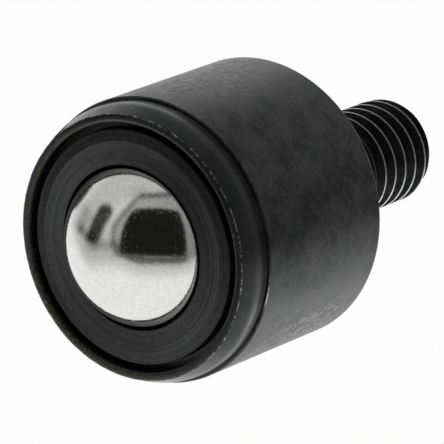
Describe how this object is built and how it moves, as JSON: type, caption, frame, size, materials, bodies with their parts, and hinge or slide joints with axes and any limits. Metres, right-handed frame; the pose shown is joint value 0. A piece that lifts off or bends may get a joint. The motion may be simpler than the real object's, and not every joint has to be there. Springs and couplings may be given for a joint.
{
  "type": "ball transfer unit",
  "caption": "Ball transfer unit: a large steel ball rolls on small support balls in a black cylindrical housing with a rolled lip and a threaded fixing stud.",
  "frame": {"origin": "centre of the seating face, where the stud meets the underside of the housing", "axes": "+Z along the axis, from the stud towards the load ball; X and Y are equivalent"},
  "size_m": [0.013, 0.013, 0.0226],
  "materials": {
    "black_oxide_steel": "turned steel, black oxide, satin, lightly scuffed",
    "black_oxide_cap": "turned steel, black oxide, satin with fine concentric turning marks",
    "polished_ball_steel": "polished bearing steel",
    "hardened_race_steel": "hardened and ground steel",
    "support_ball_steel": "polished bearing steel"
  },
  "bodies": {
    "housing": {"housing": "black_oxide_steel", "race_cup": "hardened_race_steel", "cap_ring": "black_oxide_cap"},
    "support_bed": {"support_ball_0_1": "support_ball_steel", "support_ball_1_1": "support_ball_steel", "support_ball_1_2": "support_ball_steel", "support_ball_1_3": "support_ball_steel", "support_ball_1_4": "support_ball_steel", "support_ball_1_5": "support_ball_steel", "support_ball_1_6": "support_ball_steel", "support_ball_2_1": "support_ball_steel", "support_ball_2_2": "support_ball_steel", "support_ball_2_3": "support_ball_steel", "support_ball_2_4": "support_ball_steel", "support_ball_2_5": "support_ball_steel", "support_ball_2_6": "support_ball_steel", "support_ball_2_7": "support_ball_steel", "support_ball_2_8": "support_ball_steel", "support_ball_2_9": "support_ball_steel", "support_ball_2_10": "support_ball_steel", "support_ball_2_11": "support_ball_steel", "support_ball_3_1": "support_ball_steel", "support_ball_3_2": "support_ball_steel", "support_ball_3_3": "support_ball_steel", "support_ball_3_4": "support_ball_steel", "support_ball_3_5": "support_ball_steel", "support_ball_3_6": "support_ball_steel", "support_ball_3_7": "support_ball_steel", "support_ball_3_8": "support_ball_steel", "support_ball_3_9": "support_ball_steel", "support_ball_3_10": "support_ball_steel", "support_ball_3_11": "support_ball_steel", "support_ball_3_12": "support_ball_steel", "support_ball_3_13": "support_ball_steel", "support_ball_3_14": "support_ball_steel", "support_ball_3_15": "support_ball_steel", "support_ball_3_16": "support_ball_steel", "support_ball_4_1": "support_ball_steel", "support_ball_4_2": "support_ball_steel", "support_ball_4_3": "support_ball_steel", "support_ball_4_4": "support_ball_steel", "support_ball_4_5": "support_ball_steel", "support_ball_4_6": "support_ball_steel", "support_ball_4_7": "support_ball_steel", "support_ball_4_8": "support_ball_steel", "support_ball_4_9": "support_ball_steel", "support_ball_4_10": "support_ball_steel", "support_ball_4_11": "support_ball_steel", "support_ball_4_12": "support_ball_steel", "support_ball_4_13": "support_ball_steel", "support_ball_4_14": "support_ball_steel", "support_ball_4_15": "support_ball_steel", "support_ball_4_16": "support_ball_steel", "support_ball_4_17": "support_ball_steel", "support_ball_4_18": "support_ball_steel"},
    "load_ball": {"load_ball": "polished_ball_steel"}
  },
  "joints": [
    {"name": "bed_orbit", "type": "hinge", "parent": "housing", "child": "support_bed", "pos_m": [0, 0, 0.00825], "axis": [0, 0, 1], "continuous": true},
    {"name": "ball_roll", "type": "hinge", "parent": "support_bed", "child": "load_ball", "pos_m": [0, 0, 0.00825], "axis": [1, 0, 0], "continuous": true}
  ]
}
